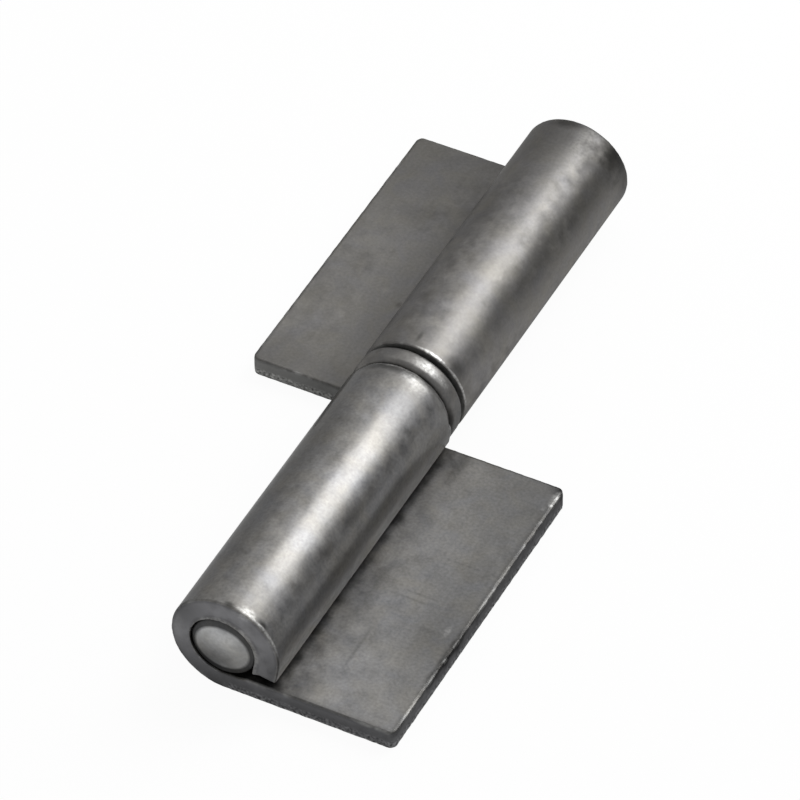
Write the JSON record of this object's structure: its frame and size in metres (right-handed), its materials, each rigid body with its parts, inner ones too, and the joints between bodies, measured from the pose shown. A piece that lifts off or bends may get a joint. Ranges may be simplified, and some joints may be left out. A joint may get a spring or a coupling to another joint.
{
  "type": "lift-off hinge",
  "caption": "Weld-on lift-off flag hinge of bare steel strip, with rolled eyes, a fixed pin and a loose bearing ring between them.",
  "frame": {"origin": "under the hinge axis, half way along the hinge, on the plane that both leaves lie on", "axes": "+Y along the hinge axis from the pin leaf to the socket leaf, the way the socket leaf lifts off; +X from the axis to the plate of the pin leaf; +Z out of the side of the plates that the eyes stand on"},
  "size_m": [0.057, 0.1205, 0.0182],
  "materials": {
    "leaf_steel": "bare hot-rolled mild steel strip, tumbled, with a dull oily grey skin and sheared rims",
    "pin_steel": "drawn steel bar with a cropped end",
    "ring_steel": "turned steel ring, worn bright along its crown"
  },
  "bodies": {
    "pin_leaf": {"pin_leaf": "leaf_steel", "hinge_pin": "pin_steel"},
    "bearing_ring": {"bearing_ring": "ring_steel"},
    "socket_leaf": {"socket_leaf": "leaf_steel"}
  },
  "joints": [
    {"name": "leaf_swing", "type": "hinge", "parent": "pin_leaf", "child": "bearing_ring", "pos_m": [0, 0, 0.00908], "axis": [0, 1, 0], "continuous": true},
    {"name": "lift_off", "type": "slide", "parent": "bearing_ring", "child": "socket_leaf", "axis": [0, 1, 0], "range_m": [-0.0006, 0.05]}
  ]
}
